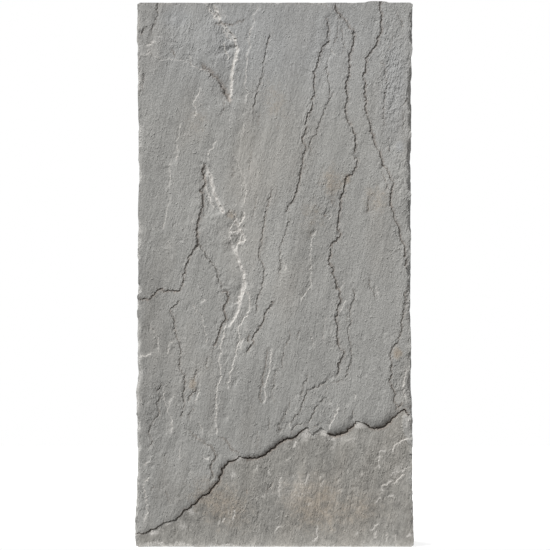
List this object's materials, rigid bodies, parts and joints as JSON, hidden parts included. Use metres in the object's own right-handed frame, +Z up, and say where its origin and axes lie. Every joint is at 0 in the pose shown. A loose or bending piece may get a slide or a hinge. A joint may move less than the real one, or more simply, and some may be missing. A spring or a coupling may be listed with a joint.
{
  "type": "sandstone edging post",
  "caption": "Upright riven sandstone slab for garden edging, with a split front and back face, stepped layers at its foot and hand-dressed narrow sides.",
  "frame": {"origin": "middle of the base that the post stands on", "axes": "+Z up along the post's height, -Y out of the riven front face, +X to the right seen from the front"},
  "size_m": [0.2547, 0.0842, 0.5],
  "materials": {
    "sandstone": "riven, dry, matt, with fine bedding grain and faint ochre staining"
  },
  "bodies": {
    "root": {"post": "sandstone"}
  },
  "joints": []
}
